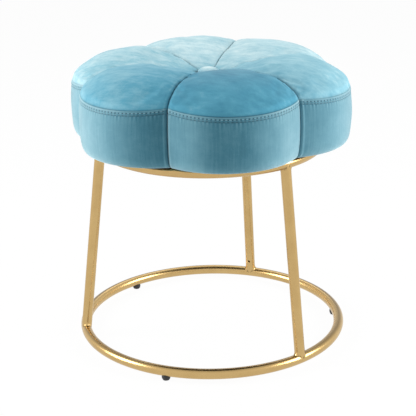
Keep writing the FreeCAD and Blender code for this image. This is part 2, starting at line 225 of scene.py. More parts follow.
# Materials

def join(tree, socket, value):
    # links an output to the socket, or sets the socket to a plain value
    if isinstance(value, bpy.types.NodeSocket):
        tree.links.new(value, socket)
    else:
        socket.default_value = value


def nodeIn(tree, kind, settings=None, **inputs):
    # A shader node with its settings, each input set to a value or joined to an output. A _ stands for a
    # space, and n with a number for the input of that number.
    node = tree.nodes.new("ShaderNode" + kind)
    for key, value in (settings or {}).items():
        setattr(node, key, value)
    for key, value in inputs.items():
        numbered = key[0] == "n" and key[1:].isdigit()
        join(tree, node.inputs[int(key[1:])] if numbered else node.inputs[key.replace("_", " ")], value)
    return node


def sums(tree, operation, a, b):
    # the output of one arithmetic step on two values or outputs
    return nodeIn(tree, "Math", {"operation": operation}, n0=a, n1=b).outputs[0]


def spread(tree, value, amount):
    # how far a pattern lies from its middle, 0.5, times an amount
    return sums(tree, "MULTIPLY", sums(tree, "SUBTRACT", value, 0.5), amount)


def addUp(tree, first, *others):
    # the sum of them all
    for other in others:
        first = sums(tree, "ADD", first, other)
    return first


def mixed(tree, share, a, b):
    # colour a where the share is 0, colour b where it is 1
    return nodeIn(tree, "Mix", {"data_type": "RGBA"}, n0=share, n6=a, n7=b).outputs[2]


def ramp(tree, share, colours):
    # the colours spread evenly from 0 to 1
    node = nodeIn(tree, "ValToRGB", Fac=share)
    edges = node.color_ramp.elements
    while len(edges) < len(colours):
        edges.new(0.5)
    for number, (edge, colour) in enumerate(zip(edges, colours)):
        edge.position, edge.color = number / (len(colours) - 1), (*colour, 1)
    return node.outputs[0]


def noise(tree, vector, scale, detail=4, roughness=0.6):
    node = nodeIn(tree, "TexNoise", Vector=vector, Scale=scale, Detail=detail, Roughness=roughness)
    return node.outputs["Fac"]


def stretched(tree, vector, scale, turn=0):
    return nodeIn(tree, "Mapping", Vector=vector, Scale=scale, Rotation=(0, 0, math.radians(turn))).outputs[0]


def field(tree, name):
    return nodeIn(tree, "Attribute", {"attribute_name": name}).outputs["Fac"]


def relief(tree, height, strength, depth):
    return nodeIn(tree, "Bump", Height=height, Strength=strength, Distance=depth).outputs[0]


def material(name, build, **choices):
    made = bpy.data.materials.new(name)
    made.use_nodes = True
    tree = made.node_tree
    tree.nodes.clear()
    shader = build(tree, nodeIn(tree, "TexCoord").outputs["Object"], **choices)
    nodeIn(tree, "OutputMaterial", Surface=shader.outputs[0])
    return made


velvetLook = {
    # the dark colour painted into seams, creases and stitch holes as painted shade
    "seam": (0.010, 0.045, 0.070, 1),
    "sheen": (0.70, 0.88, 0.92, 1),
    "pileDepth": 0.0004,
    "streakDepth": 0.0008,
}
topPile = {
    # a ramp from the darkest painted shade to the palest painted sheen
    "shades": (
        (0.018, 0.100, 0.170),
        (0.043, 0.215, 0.330),
        (0.095, 0.345, 0.475),
        (0.290, 0.550, 0.640),
        (0.700, 0.860, 0.880),
    ),
    "patch": 0.34, "stroke": 0.30, "streak": 0.06, "grain": 0.16, "sheen": 0.2,
}
wallPile = {
    # a ramp from the darkest painted shade to the palest painted sheen
    "shades": (
        (0.015, 0.085, 0.128),
        (0.048, 0.183, 0.252),
        (0.135, 0.318, 0.396),
        (0.290, 0.500, 0.570),
        (0.480, 0.690, 0.740),
    ),
    "patch": 0.22, "stroke": 0.08, "streak": 0.20, "grain": 0.14, "sheen": 0.8,
}


def velvet(tree, place, shades, patch, stroke, streak, grain, sheen):
    # The attribute of painted sheen and shade gives each panel the light and dark that lamps and the pile's
    # sheen put on it. Patches, strokes, streaks and grain disturb it, and it picks the shade. The crease
    # attribute paints shade into the seams, creases and stitch holes.
    overPiece = nodeIn(tree, "CombineXYZ", X=field(tree, "along"), Y=field(tree, "down")).outputs[0]
    patches = noise(tree, place, scale=30)
    strokes = noise(tree, stretched(tree, place, (0.3, 1, 1), turn=-24), scale=150, roughness=0.65)
    streaks = noise(tree, stretched(tree, overPiece, (1, 0.05, 1)), scale=330, roughness=0.7)
    pile = noise(tree, place, scale=900, detail=3, roughness=0.7)
    share = addUp(tree, field(tree, "napSheenAndShade"), spread(tree, patches, patch), spread(tree, strokes, stroke),
                  spread(tree, streaks, streak), spread(tree, pile, grain))
    colour = mixed(tree, field(tree, "crease"), ramp(tree, share, shades), velvetLook["seam"])
    pileRelief = relief(tree, pile, strength=0.3, depth=velvetLook["pileDepth"])
    streakRelief = nodeIn(tree, "Bump", Height=streaks, Strength=0.2, Distance=velvetLook["streakDepth"],
                          Normal=pileRelief)
    return nodeIn(tree, "BsdfPrincipled", Base_Color=colour, Roughness=0.95, Specular_IOR_Level=0.1,
                  Sheen_Weight=sheen, Sheen_Roughness=0.5, Sheen_Tint=velvetLook["sheen"],
                  Normal=streakRelief.outputs[0])


goldLook = {
    "bright": (0.66, 0.47, 0.21, 1),
    "dull": (0.48, 0.31, 0.12, 1),
    # for painted shade in holes, darker weld spots and a painted reflection of the seat
    "dark": (0.010, 0.006, 0.002, 1),
    "roughness": 0.21,
    "brushed": 0.06,
    "cloudy": 0.1,
}


def gold(tree, place):
    # Plated steel: cloudy and finely brushed. Its dark attribute adds painted shade inside a hole, darker
    # spots at a weld, and a painted reflection of the dark seat on a ring's top side.
    clouds = noise(tree, place, scale=22)
    grain = noise(tree, place, scale=900, detail=2)
    brushed = noise(tree, stretched(tree, place, (1, 1, 0.05)), scale=1500, detail=2)
    colour = mixed(tree, clouds, goldLook["bright"], goldLook["dull"])
    colour = mixed(tree, field(tree, "dark"), colour, goldLook["dark"])
    rough = addUp(tree, sums(tree, "MULTIPLY", brushed, goldLook["brushed"]),
                  spread(tree, clouds, goldLook["cloudy"]), goldLook["roughness"])
    return nodeIn(tree, "BsdfPrincipled", Base_Color=colour, Metallic=1.0, Roughness=rough,
                  Normal=relief(tree, grain, strength=0.004, depth=0.0001))


def twoTone(tree, pattern, colours, height, strength, depth, uneven=None, **inputs):
    # A pattern goes from one colour to the other, and from rough up to rougher, over a relief.
    if uneven:
        inputs["Roughness"] = sums(tree, "ADD", sums(tree, "MULTIPLY", pattern, uneven), inputs["Roughness"])
    return nodeIn(tree, "BsdfPrincipled", Base_Color=mixed(tree, pattern, *colours),
                  Normal=relief(tree, height, strength, depth), **inputs)


def blackPlastic(tree, place):
    dust, grain = noise(tree, place, scale=220), noise(tree, place, scale=1400, detail=3)
    colours = (0.010, 0.010, 0.011, 1), (0.028, 0.028, 0.030, 1)
    return twoTone(tree, dust, colours, grain, strength=0.2, depth=0.0001, uneven=0.2, Roughness=0.35)


def zincSteel(tree, place):
    clouds = noise(tree, place, scale=400)
    colours = (0.42, 0.43, 0.45, 1), (0.66, 0.66, 0.64, 1)
    return twoTone(tree, clouds, colours, clouds, strength=0.1, depth=0.0001, uneven=0.3, Roughness=0.25,
                   Metallic=1.0)


def plywood(tree, place):
    # grain along the sheet, under the bands of its plies
    grain = noise(tree, stretched(tree, place, (0.12, 1, 1)), scale=160)
    plies = nodeIn(tree, "TexWave", {"bands_direction": "Z"}, Vector=place, Scale=110, Distortion=0.4)
    wood = mixed(tree, grain, (0.46, 0.30, 0.16, 1), (0.68, 0.50, 0.30, 1))
    share = sums(tree, "MULTIPLY", plies.outputs["Fac"], 0.3)
    colour = mixed(tree, share, wood, (0.30, 0.18, 0.09, 1))
    return nodeIn(tree, "BsdfPrincipled", Base_Color=colour, Roughness=0.75,
                  Normal=relief(tree, grain, strength=0.3, depth=0.0003))


def blackCloth(tree, place):
    # spun-bonded cloth: pressed dots over loose fibres
    dots = nodeIn(tree, "TexVoronoi", Vector=place, Scale=900, Randomness=0.15).outputs["Distance"]
    fibres = noise(tree, place, scale=700, detail=5, roughness=0.7)
    colours = (0.012, 0.012, 0.013, 1), (0.05, 0.05, 0.052, 1)
    height = sums(tree, "ADD", dots, fibres)
    return twoTone(tree, fibres, colours, height, strength=0.5, depth=0.0003, Roughness=0.8, Sheen_Weight=0.2)


def twistedTwine(tree, place):
    twist = nodeIn(tree, "TexWave", {"bands_direction": "DIAGONAL"}, Vector=place, Scale=500).outputs["Fac"]
    colours = (0.55, 0.50, 0.40, 1), (0.78, 0.74, 0.64, 1)
    return twoTone(tree, twist, colours, twist, strength=0.6, depth=0.0004, Roughness=0.8)


def sewingThread(tree, place):
    fibres = noise(tree, place, scale=2600, detail=2)
    colours = (0.12, 0.31, 0.40, 1), (0.24, 0.48, 0.57, 1)
    return twoTone(tree, fibres, colours, fibres, strength=0.4, depth=0.0002, Roughness=0.55,
                   Sheen_Weight=0.3)


velvetOnTop = material("velvetOnTop", velvet, **topPile)
velvetOnWall = material("velvetOnWall", velvet, **wallPile)
goldPlate = material("goldPlate", gold)
glidePlastic = material("glidePlastic", blackPlastic)
fastenerSteel = material("fastenerSteel", zincSteel)
boardPlywood = material("boardPlywood", plywood)
coverCloth = material("coverCloth", blackCloth)
tuftTwine = material("tuftTwine", twistedTwine)
stitchThread = material("stitchThread", sewingThread)
print("materials made")


def dress(piece, look, slot, *nodes):
    # Gives a piece its material, joins it to the root body and hides the CAD nodes that it stands for. The
    # slot is not used.
    piece.data.materials.append(look)
    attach(piece, "root")
    if nodes:
        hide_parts(*nodes)
    return piece


# The flower's outline

def shareEnd(radius):
    # The angle about the petal's own axis at which a circle of that radius meets the seam plane.
    near, aside = flower["axis"] * math.cos(halfShare), flower["axis"] * math.sin(halfShare)
    reach = near + np.sqrt(radius ** 2 - aside ** 2)
    return np.arctan2(reach * math.sin(halfShare), reach * math.cos(halfShare) - flower["axis"])


def petalColumns(perPetal):
    # For every column its petal's number and its place across the petal, from -1 to 1.
    even = np.arange(perPetal) / perPetal * 2 - 1
    across = even * (1 + flower["closer"] - flower["closer"] * even ** 2)
    return np.repeat(np.arange(flower["petals"]), perPetal), np.tile(across, flower["petals"])


def aboutPetal(petal, radius, angle, level):
    # A point at a radius and angle from the petal's own axis, turned to its petal.
    x, y = flower["axis"] + radius * np.cos(angle), radius * np.sin(angle)
    turn = petal * 2 * halfShare + flower["turn"]
    return stacked(x * np.cos(turn) - y * np.sin(turn), x * np.sin(turn) + y * np.cos(turn), level)


def rimHeight(across):
    # The rim seam dips at a petal's tip and rises with the square of the place across to the notches.
    return rimLevel - flower["dip"] + flower["notch"] * np.abs(across) ** 2


def paintedShadesOver(petal, across, table):
    # Each petal's painted sheen and shade, spread evenly from its left seam to its right one, as seen from
    # outside, and joined smoothly.
    napSheenAndShade = 0 * across
    for number, shades in enumerate(table):
        shade = smoothThrough(np.linspace(-1, 1, len(shades)), shades, across)
        napSheenAndShade = np.where(petal == number, shade, napSheenAndShade)
    return napSheenAndShade


# Top of the cushion. Each crease, painted shade line and painted light is a strength, a place where it has
# one, and a width.

cushion = {
    "columns": 160,          # per petal
    "rows": 88,
    "clothColumns": 36,      # per petal, of the coarse sheet that is simulated
    "clothRows": 30,
    "held": 0.001,           # from a seam or the rim, where the cloth is sewn down
    "heldMiddle": 0.020,     # radius where the button holds it
    "calmed": 0.006,         # the cloth's movement grows to its full size over this distance from a seam
    "mostMove": 0.004,
    "innermost": 0.05,       # share of the rim's radius where the rows start
    "closer": 1.6,           # the higher, the closer together the rows are by the rim
    "puffed": 0.86,          # share of its full crown that a petal starts from
    "crown": 2.3,            # the higher, the flatter a petal across its middle
    "middleLine": {          # along a petal's middle, from the axis out: how far it lies below the crest
        "radius": (0, 0.012, 0.020, 0.0386, 0.064, 0.084, 0.105,
                   0.124, 0.145, 0.165, 0.182, 0.198, 0.210, 0.2195),
        "drop": (0.032, 0.0295, 0.026, 0.0190, 0.0100, 0.0047, 0.0012,
                 0, 0.0007, 0.0033, 0.0083, 0.0180, 0.0295, 0.0410),
    },
    "channelLine": {         # the same along a sewn channel
        "radius": (0, 0.012, 0.020, 0.0386, 0.064, 0.084, 0.104, 0.125, 0.143, 0.160, 0.175, 0.185, 0.1923),
        "drop": (0.032, 0.030, 0.0275, 0.0215, 0.0140, 0.0110, 0.0098,
                 0.0098, 0.0112, 0.0150, 0.0210, 0.0270, 0.0352),
    },
    "raised": (0.0035, 0.0052, 0.0020, 0, 0, 0),  # how much higher the channel after each petal runs
    "raisedMiddle": 0.150,
    "raisedReach": 0.055,
    "lumps": 0.0007,
    "lumpSize": 0.07,
    "lumpFade": 0.02,
    "buttonEdge": 0.014,
    "buttonFade": 0.03,      # creases reach their full depth this far from the button's edge
    "crease": (0.0028, 0.0018),
    "pucker": (0.0007, 0.007),
    "puckerPitch": 0.0085,
    "rimCrease": (0.0010, 0.0016),
    "edgeUnder": (0.985, 0.93),    # shares of the outline for the rows that close the underside
    "edgeDrop": 0.004,
    "flatUnder": (0.8, 0.4, 0.05),
    "flatDrop": 0.008,
    # painted shade lines, painted highlights beside the seams and the rim, and painted shade round the button
    "seamLine": (1, 0.0007),
    "rimLine": (0.8, 0.0006),
    "buttonLine": (1.2, 0.0180, 0.0022),
    "seamLight": (0.12, 0.0045, 0.002),
    "rimLight": (0.05, 0.004, 0.003),
    "noLight": 0.75,         # the painted highlights vanish over this painted shade, and are full 0.5 under it
    "buttonShade": (0.22, 0.018),
    "lineFades": (1.2, 0.9, 0.35),  # a painted shade line's share of its darkness: at 0, lost per unit of painted shade, least
    "innerReach": 0.09,      # from here the outer shades take over from the inner ones
    "outerReach": 0.18,
    # each petal's painted sheen and shade, from 0 dark to 1 pale, across it from seam to seam: outer, then
    # inner
    "outerShades": (
        (0.63, 0.73, 0.72),
        (0.86, 0.86, 0.86),
        (0.86, 0.87, 0.88),
        (0.84, 0.82, 0.78),
        (0.66, 0.60, 0.44),
        (0.44, 0.44, 0.43),
    ),
    "innerShades": (
        (0.66, 0.70, 0.72),
        (0.85, 0.87, 0.88),
        (0.88, 0.88, 0.88),
        (0.81, 0.79, 0.75),
        (0.65, 0.57, 0.53),
        (0.24, 0.24, 0.25),
    ),
}


def topShape(perPetal, rows):
    # On rays from the axis out to the rim: the channel's height, plus the petal's crown and gentle lumps,
    # which fade to nothing at the channels.
    c = cushion
    petal, across = petalColumns(perPetal)
    outline = aboutPetal(petal, flower["rim"], shareEnd(flower["rim"]) * across, 0)[:, :2]
    rimRadius = np.hypot(outline[:, 0], outline[:, 1])
    rim = aboutPetal(0, flower["rim"], shareEnd(flower["rim"]) * across, 0)
    turn = np.arctan2(rim[:, 1], rim[:, 0]) - flower["turn"]  # from the petal's middle
    fromMiddle = np.clip(np.abs(turn) / halfShare, 0, 1)
    rowShare = 1 - (1 - np.linspace(0, 1, rows)[:, None]) ** c["closer"]
    out = c["innermost"] + (1 - c["innermost"]) * rowShare
    radius = out * rimRadius
    fromSeam = radius * np.sin(halfShare * (1 - fromMiddle))
    fromRim = (1 - out) * rimRadius
    middleLine, channelLine = c["middleLine"], c["channelLine"]
    middle = crestLevel - smoothThrough(middleLine["radius"], middleLine["drop"], out * rimRadius.max())
    channelRadius = out * channelLine["radius"][-1]
    channel = crestLevel - smoothThrough(channelLine["radius"], channelLine["drop"], channelRadius)
    raised = np.where(turn > 0, np.array(c["raised"])[petal], np.array(c["raised"])[petal - 1])
    channel = channel + raised * bump((radius - c["raisedMiddle"]) / c["raisedReach"])
    crown = 1 - fromMiddle ** c["crown"]
    x, y = out * outline[:, 0], out * outline[:, 1]
    lumps = c["lumps"] * gentleWaves(x, y, c["lumpSize"], seed=3) * np.clip(fromRim / c["lumpFade"], 0, 1)
    height = channel + (c["puffed"] * (middle - channel) + lumps) * crown
    return {"points": stacked(x, y, height), "petal": petal, "outline": outline, "turn": turn,
            "radius": radius, "fromSeam": fromSeam, "fromRim": fromRim}


def topFields(top, fromButton):
    # The petals' painted sheen and shade, with painted highlights beside the seams and the rim where the
    # petal is painted dark, and painted shade round the button. The painted shade lines along the seams, the
    # rim and the button are fainter where the petal is painted pale.
    c = cushion
    radius, fromSeam, fromRim = top["radius"], top["fromSeam"], top["fromRim"]
    across = top["turn"] / halfShare
    outer = np.clip((radius - c["innerReach"]) / (c["outerReach"] - c["innerReach"]), 0, 1)
    napSheenAndShade = outer * paintedShadesOver(top["petal"], across, c["outerShades"])
    napSheenAndShade = napSheenAndShade + (1 - outer) * paintedShadesOver(top["petal"], across, c["innerShades"])
    light = band(fromSeam, *c["seamLight"]) * fromButton + band(fromRim, *c["rimLight"])
    napSheenAndShade = napSheenAndShade + light * np.clip(2 * (c["noLight"] - napSheenAndShade), 0, 1)
    napSheenAndShade = napSheenAndShade - fading(radius - c["buttonEdge"], *c["buttonShade"])
    line = fading(fromSeam, *c["seamLine"]) * fromButton + fading(fromRim, *c["rimLine"])
    line = line + band(radius, *c["buttonLine"])
    full, loss, least = c["lineFades"]
    line = np.clip(line, 0, 1) * np.clip(full - loss * napSheenAndShade, least, 1)
    return {"napSheenAndShade": napSheenAndShade, "crease": line, "along": top["turn"] * radius, "down": radius}


def cushionTop():
    # The shape, swollen by the cloth simulation between its seams, less its creases and gathers, then its
    # closed underside.
    c = cushion
    coarse = topShape(c["clothColumns"], c["clothRows"])
    sewn = np.minimum(coarse["fromSeam"], coarse["fromRim"]) < c["held"]
    move = clothMove(coarse["points"], sewn | (coarse["radius"] < c["heldMiddle"]), c["mostMove"])
    move = finer(move, c["rows"], flower["petals"] * c["columns"])
    top = topShape(c["columns"], c["rows"])
    radius, fromSeam, fromRim, outline = top["radius"], top["fromSeam"], top["fromRim"], top["outline"]
    points = top["points"] + move * np.clip(np.minimum(fromSeam, fromRim) / c["calmed"], 0, 1)[..., None]
    fromButton = np.clip((radius - c["buttonEdge"]) / c["buttonFade"], 0, 1)
    gathers = fading(fromSeam, *c["pucker"]) * np.cos(math.pi * radius / c["puckerPitch"]) ** 2
    points[..., 2] -= (fading(fromSeam, *c["crease"]) + gathers) * fromButton
    points[..., 2] -= fading(fromRim, *c["rimCrease"])
    rings = [(share, points[-1, :, 2] - c["edgeDrop"]) for share in c["edgeUnder"]]
    rings += [(share, rimLevel - c["flatDrop"]) for share in c["flatUnder"]]
    under = [stacked(share * outline[:, 0], share * outline[:, 1], level) for share, level in rings]
    fields = carriedOn(topFields(top, fromButton), len(under))
    piece = surface("velvetTop", np.concatenate([points, np.array(under)]), poles=True, fields=fields)
    return dress(piece, velvetOnTop, "seat_velvet", "petal_tops", "foam_core")


# Wall of the cushion. Drops are measured from the rim seam.

wall = {
    "columns": 300,          # per petal
    "profile": {             # height over the board's underside, and how far in from its widest the wall is
        "height": (0, 0.0012, 0.0045, 0.0095, 0.019, 0.034, 0.048, 0.062, 0.076, 0.088),
        "inset": (0.0110, 0.0078, 0.0048, 0.0027, 0.0011, 0.0002, 0, 0.0004, 0.0015, 0.0032),
    },
    "rows": ((0, 0.0110, 20), (0.0124, 0.0200, 6), (0.0250, 0.0700, 9)),  # first drop, last drop, number
    "lowRows": 10,           # from there to the board's underside
    "turnedIn": (            # rows under the edge and up inside: how far in from the widest, and how far up
        (0.0168, -0.0003), (0.0180, -0.0004), (0.0182, 0.0000), (0.0165, 0.0010), (0.0165, 0.0700),
    ),
    "behindRim": ((0.0150, 0.0060), (0.0090, 0.0030)),  # how far in, and how far below the rim seam
    "stitchDrop": 0.0042,
    "stitchPitch": 0.0058,
    "bandDrop": 0.0078,      # lower edge of the seam's band
    "bandSwell": 0.0007,
    "bandGroove": (0.0007, 0.0009),
    "stitchGroove": (0.0004, 0.0007),
    "rimCrease": (0.0013, 0.0009),
    "seamCrease": (0.0018, 0.0015),
    "seamRoll": (0.0006, 0.0042, 0.0020),
    "pucker": 0.00032,
    "puckerReach": 0.0040,
    "puckerInBand": 0.6,     # share of it that shows at the band's lower edge
    "puckerWanders": (0.65, 0.55),     # its mean share, and how much that wanders
    "stripesWander": (0.5, 0.9, 1.3),  # the same for the stripes, and their most
    "wanderSize": 0.019,
    "lumps": 0.0006,
    "lumpSize": 0.06,
    "lumpFade": 0.02,
    "lumpReach": 0.044,
    "lumpStep": 0.25,        # these set each panel's pattern apart from its neighbour's
    "panelStep": 0.3,
    # painted shade lines along the seams, the rim and the band, painted shade in the stitch holes and in
    # stripes under the puckers, and painted highlights beside the seams, under the rim and at the foot
    "seamLine": (1, 0.0006),
    "rimLine": (1, 0.0006),
    "bandLine": (0.22, 0.0009),
    "bandHoles": 0.50,
    "stitchHoles": (0.75, 0.0011),
    "holeFrom": -0.3,        # a hole is where the ripple is under this
    "stripes": (0.20, 0.0045),
    "seamLight": (0.12, 0.0045, 0.0018),
    "rimLight": (0.20, 0.0018, 0.0012),
    "footLight": (0.05, 0.006, 0.008),
    # each panel's painted sheen and shade, from 0 dark to 1 pale, across it from seam to seam
    "shades": (
        (0.33, 0.41, 0.52, 0.53, 0.50, 0.50, 0.50),
        (0.50, 0.50, 0.48, 0.46, 0.48, 0.50, 0.50),
        (0.50, 0.48, 0.46, 0.46, 0.48, 0.50, 0.50),
        (0.50, 0.50, 0.50, 0.50, 0.53, 0.60, 0.53),
        (0.66, 0.62, 0.60, 0.55, 0.43, 0.27, 0.24),
        (0.41, 0.43, 0.30, 0.25, 0.43, 0.57, 0.48),
    ),
}


def stitchCount():
    # stitches on one panel
    return round(2 * flower["rim"] * float(shareEnd(flower["rim"])) / wall["stitchPitch"])


def groove(x, place, depth, width):
    # a bell-shaped groove of that depth and width
    return -band(x, depth, place, width)


def wallShape(petal, across, drop, wallHeight):
    # The profile, plus the seam band's swell and the puckers below it that follow the stitches, less the
    # grooves and the creases, plus a roll beside each seam and gentle lumps.
    w = wall
    share = np.clip(wallHeight - drop, 0, None) / wallHeight
    heights, insets = w["profile"]["height"], w["profile"]["inset"]
    radius = flower["widest"] - smoothThrough(heights, insets, share * heights[-1])
    along = radius * shareEnd(radius) * across
    fromSeam = radius * shareEnd(radius) * (1 - np.abs(across))
    ripple = np.cos(math.pi * stitchCount() * across)
    wander = gentleWaves(petal * w["panelStep"] + along, 0 * drop, w["wanderSize"], seed=4)
    inBand = np.clip(drop / w["bandDrop"], 0, 1)
    below = np.clip(drop - w["bandDrop"], 0, None)
    mean, wanders = w["puckerWanders"]
    fade = np.where(drop < w["bandDrop"], w["puckerInBand"] * inBand, fading(below, 1, w["puckerReach"]))
    radius = radius + w["bandSwell"] * np.sin(math.pi * inBand)
    radius = radius + w["pucker"] * ripple * fade * (mean + wanders * wander)
    radius = radius + groove(drop, w["bandDrop"], *w["bandGroove"])
    radius = radius + groove(drop, w["stitchDrop"], *w["stitchGroove"])
    radius = radius - fading(drop, *w["rimCrease"]) - fading(fromSeam, *w["seamCrease"])
    radius = radius + band(fromSeam, *w["seamRoll"])
    lumps = w["lumps"] * gentleWaves(petal * w["lumpStep"] + along, drop, w["lumpSize"], seed=8)
    radius = radius + lumps * np.clip(fromSeam / w["lumpFade"], 0, 1) * bump(drop / w["lumpReach"] - 1)
    return {"radius": radius, "along": along, "fromSeam": fromSeam, "ripple": ripple, "wander": wander}


def wallFields(petal, across, drop, wallHeight, shape):
    # The panels' painted sheen and shade, with painted shade stripes that follow the puckers below the band
    # and painted highlights beside the seams, the rim and the foot. Painted shade lines run along the seams
    # and the band, with painted shade in a hole between every two stitches.
    w = wall
    ripple, fromSeam = shape["ripple"], shape["fromSeam"]
    hole = ripple < w["holeFrom"]
    (bandStrength, bandWidth), (holeStrength, holeWidth) = w["bandLine"], w["stitchHoles"]
    line = fading(fromSeam, *w["seamLine"]) + fading(drop, *w["rimLine"])
    line = line + band(drop, bandStrength + w["bandHoles"] * hole, w["bandDrop"], bandWidth)
    line = line + band(drop, holeStrength * hole, w["stitchDrop"], holeWidth)
    below = np.clip(drop - w["bandDrop"], 0, None)
    mean, wanders, most = w["stripesWander"]
    uneven = np.clip(mean + wanders * shape["wander"], 0, most)
    stripes = ripple * (drop > w["bandDrop"]) * fading(below, *w["stripes"]) * uneven
    napSheenAndShade = paintedShadesOver(petal, across, w["shades"]) - stripes + band(fromSeam, *w["seamLight"])
    napSheenAndShade = napSheenAndShade + band(drop, *w["rimLight"]) + band(wallHeight - drop, *w["footLight"])
    along = shape["along"] + petal * w["panelStep"]
    return {"napSheenAndShade": napSheenAndShade, "crease": np.clip(line, 0, 1), "along": along, "down": drop}


def cushionWall():
    # Rows run from the rim seam down, under the seat, and back up inside to close the shell.
    w = wall
    petal, across = petalColumns(w["columns"])
    wallTop = rimHeight(across)
    wallHeight = wallTop - boardBottom
    high = np.concatenate([np.linspace(*stretch) for stretch in w["rows"]])
    lowShare = np.sin(np.linspace(0, 1, w["lowRows"] + 1)[1:, None] * math.pi / 2)
    drop = np.concatenate([high[:, None] + 0 * across, high[-1] + (wallHeight - high[-1]) * lowShare])
    shape = wallShape(petal, across, drop, wallHeight)
    outside = aboutPetal(petal, shape["radius"], shareEnd(shape["radius"]) * across, wallTop - drop)
    inside = [(flower["widest"] - inset, boardBottom + up + 0 * across) for inset, up in w["turnedIn"]]
    inside += [(flower["widest"] - inset, wallTop - down) for inset, down in w["behindRim"]]
    inside = [aboutPetal(petal, radius, shareEnd(radius) * across, level) for radius, level in inside]
    fields = carriedOn(wallFields(petal, across, drop, wallHeight, shape), len(inside))
    piece = surface("velvetWall", np.concatenate([outside, np.array(inside)]), wrapRows=True, fields=fields)
    return dress(piece, velvetOnWall, "seat_velvet", "side_band")


stitch = {
    "share": 0.74,       # of the pitch that a stitch takes up
    "thick": 0.00045,
    "blunt": 1.02,       # 1 would narrow it to a point
    "proud": 0.00010,    # how far its middle stands out from the wall
    "clear": 1.6,        # half pitches left free at a seam
    "sections": 6,
    "sides": 6,
}


def topstitching():
    # One small bead for each stitch: a circle carried along a short arc of the wall, narrowing to both ends.
    s = stitch
    count = stitchCount()
    middle = (np.arange(count) * 2 + 1) / count - 1
    middle = middle[np.abs(middle) < 1 - s["clear"] / count]
    petal = np.repeat(np.arange(flower["petals"]), len(middle))[:, None, None]
    middle = np.tile(middle, flower["petals"])[:, None, None]
    step = np.linspace(-1, 1, s["sections"])[:, None]
    turn = circle(s["sides"])
    across = middle + s["share"] / count * step + 0 * turn
    thick = s["thick"] * np.sqrt(s["blunt"] - step ** 2)
    level = rimHeight(across)
    radius = wallShape(petal, across, wall["stitchDrop"] + 0 * across, level - boardBottom)["radius"]
    radius = radius + s["proud"] + thick * np.cos(turn)
    height = level - wall["stitchDrop"] + thick * np.sin(turn)
    points = aboutPetal(petal, radius, shareEnd(radius) * across, height)
    number = np.arange(points[..., 0].size).reshape(points.shape[:3])
    following = np.roll(number, -1, 2)
    sides = np.stack([number[:, :-1], following[:, :-1], following[:, 1:], number[:, 1:]], -1).reshape(-1, 4)
    ends = [number[:, 0, ::-1].reshape(-1, s["sides"]), number[:, -1].reshape(-1, s["sides"])]
    piece = meshPiece("topstitching", points.reshape(-1, 3), [sides, *ends], {})
    return dress(piece, stitchThread, "seat_velvet")


button = {
    "rows": 26,
    "columns": 144,
    "wider": 0.0015,         # than the CAD button, with its cloth and padding
    "higher": 0.0032,
    "lift": 0.0002,
    "turn": math.radians(118),     # from the crown round to the lower edge
    "roundness": 0.9,
    "pleats": 18,
    "pleat": 0.00035,
    "pleatPlace": 0.85,      # share of the way from the crown to the lower edge
    "pleatReach": 0.35,
    "shadeTowardsEdge": 0.3,          # painted shade, growing from the crown to the lower edge
    "line": (0.7, 0.9),      # a painted shadow line: darkness, and the share of the way where it starts
}


def coveredButton():
    # A dome turned about the axis, its edge gathered in small pleats that fade towards the middle.
    b = button
    low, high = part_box("tuft_button")
    width = (high.x - low.x) / 2 + b["wider"]
    top, bottom = high.z + b["higher"], low.z + b["lift"]
    angle = circle(b["columns"])
    step = np.linspace(0, 1, b["rows"])[:, None]
    turn = step * b["turn"]
    pleats = b["pleat"] * np.cos(b["pleats"] * angle) * bump((step - b["pleatPlace"]) / b["pleatReach"])
    out = width * np.sin(turn) ** b["roundness"] + pleats
    end = math.cos(b["turn"])
    level = bottom + (top - bottom) * (np.cos(turn) - end) / (1 - end)
    darkness, start = b["line"]
    # painted shade grows towards the lower edge, with a painted shadow line along it
    fields = {"napSheenAndShade": 1.0 - b["shadeTowardsEdge"] * step, "crease": darkness * (step > start),
              "along": angle * width, "down": out}
    grid = stacked(out * np.cos(angle), out * np.sin(angle), level)
    piece = surface("coveredButton", grid, poles=True, fields=fields)
    return dress(piece, velvetOnTop, "seat_velvet", "tuft_button")


cushionTop()
cushionWall()
topstitching()
coveredButton()
print("cushion made")


# Frame tubes

tubes = {
    "aroundTube": 48,
    "aroundRing": 288,
    # the seat's dark underside, as a painted reflection on each ring's top side
    "darkMiddle": math.radians(85),    # middle of the painted reflection, on the tube's section, where 90 degrees is the top
    "darkReach": math.radians(55),
    "darkness": {"base_ring": 0.6, "seat_ring": 0.3},
}


def tubeRing(name, ring):
    # A circle of tube carried round a circle, its top side darkened by a painted reflection of the seat above
    # it.
    around = circle(tubes["aroundRing"])[:, None]
    section = circle(tubes["aroundTube"])
    reach, level = ring["radius"] + tubeRadius * np.cos(section), ring["level"] + tubeRadius * np.sin(section)
    grid = stacked(reach * np.cos(around), reach * np.sin(around), level)
    fromDark = np.angle(np.exp(1j * (section - tubes["darkMiddle"])))
    fields = {"dark": tubes["darkness"][name] * bump(fromDark / tubes["darkReach"])}
    return dress(surface(name + "Tube", grid, wrapRows=True, fields=fields), goldPlate, "frame_tube", name)


leg = {
    "columns": 112,
    "closer": 0.7,           # how much closer together the columns are on the inner side
    "endRows": (0.020, 26),  # length of a stretch of rows, and its number of rows
    "endCloser": 1.3,        # the higher, the closer together the rows are by a ring's middle line
    "pastEnd": 0.0005,
    "ventRows": (0.006, 33),
    "middleRows": (0.030, 0.025, 24),  # from each end, and number of rows
    "weldSwell": (0.0024, 0.0019),
    "endRound": (0.0008, 0.0006),
    "ventAlong": 0.024,      # from the base ring's middle line
    "ventRadius": 0.00185,
    "ventDepth": 0.0060,
    "ventEdge": 0.00008,
    "beads": (0.12, 9, 1.3),           # a weld's beads: amount, number round the tube, phase
    "weldSpots": (0.7, 0, 0.0012),
    "spots": ((1, 7, 0.9), (0.7, 17, 0)),  # waves that place the dark spots at the welds: amount, number, phase
}


